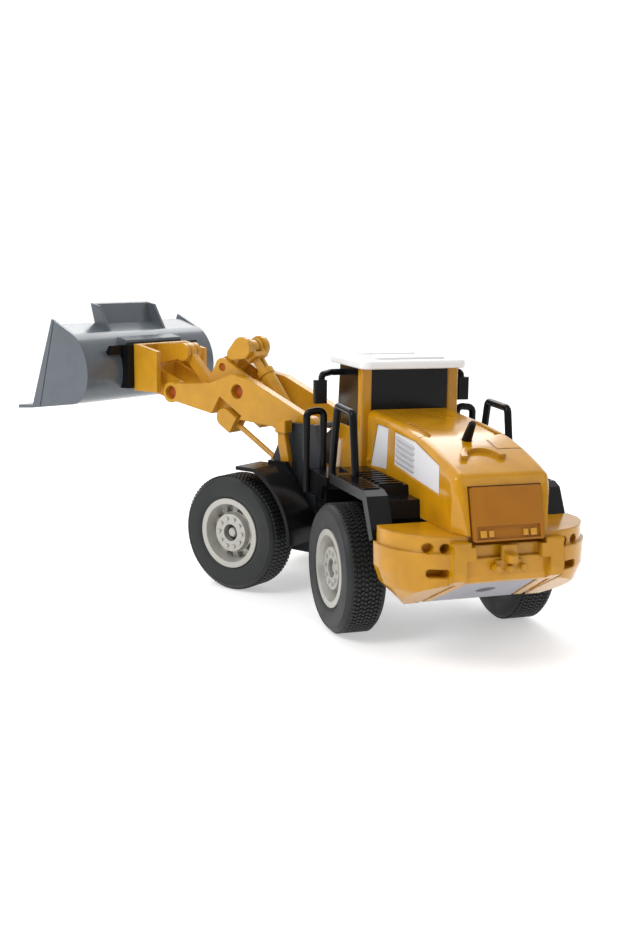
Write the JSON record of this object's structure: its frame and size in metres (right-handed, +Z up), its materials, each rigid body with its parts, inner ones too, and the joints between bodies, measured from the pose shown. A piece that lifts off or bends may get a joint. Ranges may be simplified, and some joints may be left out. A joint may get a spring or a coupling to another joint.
{
  "type": "toy front loader",
  "caption": "Articulated toy wheel loader with a raised bucket, a bellcrank tilt linkage, a cab, a rear engine hood and rubber-tyred wheels.",
  "frame": {"origin": "centre of the footprint of the bounding box, at ground level", "axes": "+X towards the front of the rear half of the machine, +Y to its left, +Z up"},
  "size_m": [0.2972, 0.1858, 0.1198],
  "materials": {
    "body_yellow": "glossy moulded plastic",
    "arm_yellow": "satin moulded plastic with faint flow lines",
    "black_plastic": "glossy black moulded plastic",
    "tower_grey": "satin dark grey plastic",
    "window_black": "opaque glossy black windows",
    "roof_white": "glossy white plastic",
    "panel_grey": "light grey satin plastic",
    "bucket_grey": "glossy blue grey plastic",
    "rim_grey": "warm light grey satin plastic",
    "tyre": "black rubber with a fine moulded tread",
    "steel": "plain steel"
  },
  "bodies": {
    "rear_frame": {"rear_chassis": "black_plastic", "articulation_pin": "tower_grey", "counterweight": "body_yellow", "underside_plate": "panel_grey", "underside_screw": "steel", "tow_hitch": "body_yellow", "engine_hood": "body_yellow", "left_grille_panel": "panel_grey", "right_grille_panel": "panel_grey", "left_vent_panel": "panel_grey", "right_vent_panel": "panel_grey", "rear_door": "body_yellow", "exhaust_pipe": "black_plastic", "cab_body": "body_yellow", "cab_windows": "window_black", "cab_roof": "roof_white", "left_mirror": "black_plastic", "right_mirror": "black_plastic", "left_step_box": "black_plastic", "right_step_box": "black_plastic", "left_rear_fender": "black_plastic", "right_rear_fender": "black_plastic", "left_side_tank": "black_plastic", "right_side_tank": "black_plastic", "left_front_rail": "black_plastic", "right_front_rail": "black_plastic", "left_rear_rail": "black_plastic", "right_rear_rail": "black_plastic"},
    "rear_wheels": {"rear_axle": "steel", "rear_left_rim": "rim_grey", "rear_right_rim": "rim_grey", "rear_left_tyre": "tyre", "rear_right_tyre": "tyre"},
    "front_frame": {"front_chassis": "tower_grey", "front_tower": "tower_grey", "arm_pivot_pin": "tower_grey", "left_front_fender": "black_plastic", "right_front_fender": "black_plastic", "left_headlight": "body_yellow", "right_headlight": "body_yellow"},
    "front_wheels": {"front_axle": "steel", "front_left_rim": "rim_grey", "front_right_rim": "rim_grey", "front_left_tyre": "tyre", "front_right_tyre": "tyre"},
    "lift_arms": {"left_lift_arm": "arm_yellow", "right_lift_arm": "arm_yellow", "arm_cross_tube": "arm_yellow", "arm_rear_tube": "arm_yellow"},
    "tool_carrier": {"quick_coupler": "arm_yellow", "bucket": "bucket_grey", "bucket_hanger": "black_plastic"},
    "bellcrank": {"bellcrank": "arm_yellow"},
    "coupler_link": {"coupler_link": "arm_yellow"},
    "tilt_barrel": {"tilt_barrel": "arm_yellow"},
    "tilt_rod": {"tilt_rod": "arm_yellow"},
    "left_lift_barrel": {"left_lift_barrel": "arm_yellow"},
    "left_lift_rod": {"left_lift_rod": "arm_yellow"},
    "right_lift_barrel": {"right_lift_barrel": "arm_yellow"},
    "right_lift_rod": {"right_lift_rod": "arm_yellow"}
  },
  "joints": [
    {"name": "steering", "type": "hinge", "parent": "rear_frame", "child": "front_frame", "pos_m": [-0.02659, -0.05003, 0.037], "axis": [0, 0, 1], "range_deg": [-75, 4]},
    {"name": "rear_wheels_spin", "type": "hinge", "parent": "rear_frame", "child": "rear_wheels", "pos_m": [-0.07804, -0.05003, 0.025], "axis": [0, 1, 0], "continuous": true},
    {"name": "front_wheels_spin", "type": "hinge", "parent": "front_frame", "child": "front_wheels", "pos_m": [0.01521, -0.02011, 0.025], "axis": [-0.5821, 0.8131, 0], "continuous": true},
    {"name": "lift", "type": "hinge", "parent": "front_frame", "child": "lift_arms", "pos_m": [-0.00219, -0.03257, 0.0695], "axis": [0.5821, -0.8131, 0], "range_deg": [-36, 5]},
    {"name": "tilt", "type": "hinge", "parent": "lift_arms", "child": "tool_carrier", "pos_m": [0.06285, 0.014, 0.0794], "axis": [0.5821, -0.8131, 0], "range_deg": [-40, 20]},
    {"name": "bellcrank_turn", "type": "hinge", "parent": "lift_arms", "child": "bellcrank", "pos_m": [0.04253, -0.00055, 0.0922], "axis": [0.5821, -0.8131, 0], "range_deg": [-11, 21.8]},
    {"name": "link_turn", "type": "hinge", "parent": "tool_carrier", "child": "coupler_link", "pos_m": [0.06489, 0.01546, 0.0976], "axis": [0.5821, -0.8131, 0], "range_deg": [-9, 17.8]},
    {"name": "tilt_barrel_turn", "type": "hinge", "parent": "lift_arms", "child": "tilt_barrel", "pos_m": [0.01285, -0.0218, 0.0693], "axis": [0.5821, -0.8131, 0], "range_deg": [-1, 0.6]},
    {"name": "tilt_rod_slide", "type": "slide", "parent": "tilt_barrel", "child": "tilt_rod", "axis": [0.4986, 0.357, 0.7899], "range_m": [-0.00579, 0.00299]},
    {"name": "left_lift_barrel_turn", "type": "hinge", "parent": "front_frame", "child": "left_lift_barrel", "pos_m": [-0.01177, -0.0259, 0.0394], "axis": [0.5821, -0.8131, 0], "range_deg": [-27.56, 4]},
    {"name": "left_lift_rod_slide", "type": "slide", "parent": "left_lift_barrel", "child": "left_lift_rod", "axis": [0.6969, 0.4989, 0.5152], "range_m": [-0.01732, 0.00258]},
    {"name": "right_lift_barrel_turn", "type": "hinge", "parent": "front_frame", "child": "right_lift_barrel", "pos_m": [0.00104, -0.04378, 0.0394], "axis": [0.5821, -0.8131, 0], "range_deg": [-27.56, 4]},
    {"name": "right_lift_rod_slide", "type": "slide", "parent": "right_lift_barrel", "child": "right_lift_rod", "axis": [0.6969, 0.4989, 0.5152], "range_m": [-0.01732, 0.00258]}
  ],
  "couplings": [
    {"joint": "bellcrank_turn", "follows": "tilt", "ratio": -0.54},
    {"joint": "link_turn", "follows": "tilt", "ratio": -0.44},
    {"joint": "tilt_barrel_turn", "follows": "tilt", "ratio": 0.02},
    {"joint": "tilt_rod_slide", "follows": "tilt", "m_per_rad": 0.008},
    {"joint": "left_lift_barrel_turn", "follows": "lift", "ratio": 0.76},
    {"joint": "left_lift_rod_slide", "follows": "lift", "m_per_rad": 0.02725},
    {"joint": "right_lift_barrel_turn", "follows": "lift", "ratio": 0.76},
    {"joint": "right_lift_rod_slide", "follows": "lift", "m_per_rad": 0.02725}
  ]
}
